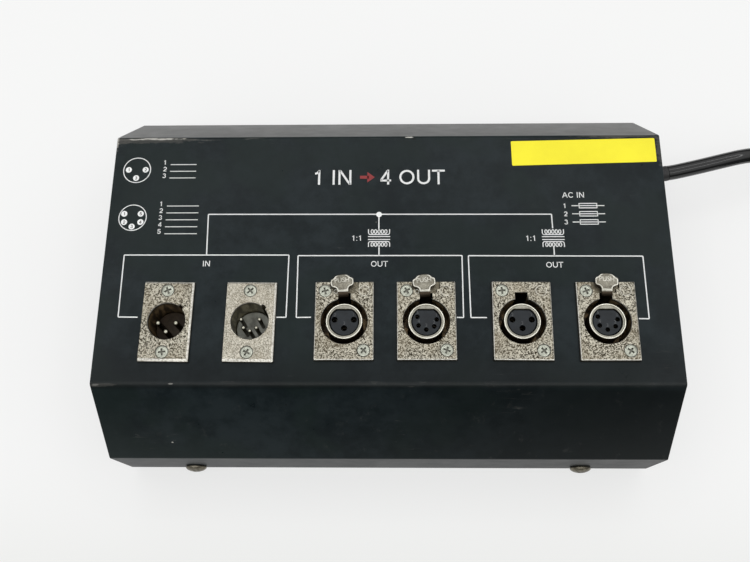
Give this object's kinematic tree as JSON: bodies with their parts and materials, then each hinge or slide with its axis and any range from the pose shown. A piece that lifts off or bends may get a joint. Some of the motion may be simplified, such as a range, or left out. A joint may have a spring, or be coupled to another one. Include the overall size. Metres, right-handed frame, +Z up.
{
  "type": "lighting control signal splitter",
  "caption": "Low folded-steel desk box with sloping sides, round multi-pin panel sockets in a row on top, push latches, and a mains lead with a plug.",
  "frame": {"origin": "on the table, under the middle of the box", "axes": "+X to the right along the row of connectors, +Y to the back, +Z up"},
  "size_m": [0.475, 0.1827, 0.0787],
  "materials": {
    "cover_paint": "satin dark grey",
    "zinc_plate": "zinc plated",
    "cast_nickel": "blasted nickel",
    "bright_nickel": "bright nickel",
    "screw_steel": "bright zinc",
    "dark_plastic": "moulded",
    "foot_rubber": "matte",
    "cord_jacket": "glossy moulded",
    "board_green": "solder mask",
    "winding": "laminated core and tape",
    "fuse_glass": "clear"
  },
  "bodies": {
    "box": {"top_cover": "cover_paint", "base_plate": "zinc_plate", "foot_front_left": "foot_rubber", "foot_front_right": "foot_rubber", "foot_rear_left": "foot_rubber", "foot_rear_right": "foot_rubber", "cover_screw_front_left": "screw_steel", "cover_screw_front_right": "screw_steel", "cover_screw_rear_left": "screw_steel", "cover_screw_rear_right": "screw_steel", "housing_in_3pin": "cast_nickel", "insert_in_3pin": "dark_plastic", "pin_in_3pin_1": "bright_nickel", "pin_in_3pin_2": "bright_nickel", "pin_in_3pin_3": "bright_nickel", "screw_in_3pin_rear": "screw_steel", "screw_in_3pin_front": "screw_steel", "housing_in_5pin": "cast_nickel", "insert_in_5pin": "dark_plastic", "pin_in_5pin_1": "bright_nickel", "pin_in_5pin_2": "bright_nickel", "pin_in_5pin_3": "bright_nickel", "pin_in_5pin_4": "bright_nickel", "pin_in_5pin_5": "bright_nickel", "screw_in_5pin_rear": "screw_steel", "screw_in_5pin_front": "screw_steel", "housing_out_a_3pin": "cast_nickel", "insert_out_a_3pin": "dark_plastic", "screw_out_a_3pin_rear": "screw_steel", "screw_out_a_3pin_front": "screw_steel", "housing_out_a_5pin": "cast_nickel", "insert_out_a_5pin": "dark_plastic", "screw_out_a_5pin_rear": "screw_steel", "screw_out_a_5pin_front": "screw_steel", "housing_out_b_3pin": "cast_nickel", "insert_out_b_3pin": "dark_plastic", "screw_out_b_3pin_rear": "screw_steel", "screw_out_b_3pin_front": "screw_steel", "housing_out_b_5pin": "cast_nickel", "insert_out_b_5pin": "dark_plastic", "screw_out_b_5pin_rear": "screw_steel", "screw_out_b_5pin_front": "screw_steel", "circuit_board": "board_green", "standoff_front_left": "zinc_plate", "standoff_front_right": "zinc_plate", "standoff_rear_left": "zinc_plate", "standoff_rear_right": "zinc_plate", "driver_chip": "dark_plastic", "fuse_block": "dark_plastic", "fuse_1": "fuse_glass", "fuse_2": "fuse_glass", "fuse_3": "fuse_glass", "mains_transformer": "winding", "strain_relief": "cord_jacket", "power_cord": "cord_jacket", "cord_coil": "cord_jacket", "mains_plug": "cord_jacket"},
    "latch_a_3pin": {"latch_out_a_3pin": "bright_nickel"},
    "latch_a_5pin": {"latch_out_a_5pin": "bright_nickel"},
    "latch_b_5pin": {"latch_out_b_5pin": "bright_nickel"}
  },
  "joints": [
    {"name": "latch_a_3pin_push", "type": "hinge", "parent": "box", "child": "latch_a_3pin", "pos_m": [-0.01975, -0.01052, 0.07615], "axis": [0.9936, 0.1132, 0], "range_deg": [0, 7], "stiffness_Nm_per_rad": 0.12, "springref_deg": -8.59},
    {"name": "latch_a_5pin_push", "type": "hinge", "parent": "box", "child": "latch_a_5pin", "pos_m": [0.01622, -0.01049, 0.07615], "axis": [0.9962, 0.0872, 0], "range_deg": [0, 7], "stiffness_Nm_per_rad": 0.12, "springref_deg": -8.59},
    {"name": "latch_b_5pin_push", "type": "hinge", "parent": "box", "child": "latch_b_5pin", "pos_m": [0.09614, -0.01046, 0.07615], "axis": [0.999, -0.0436, 0], "range_deg": [0, 7], "stiffness_Nm_per_rad": 0.12, "springref_deg": -8.59}
  ]
}
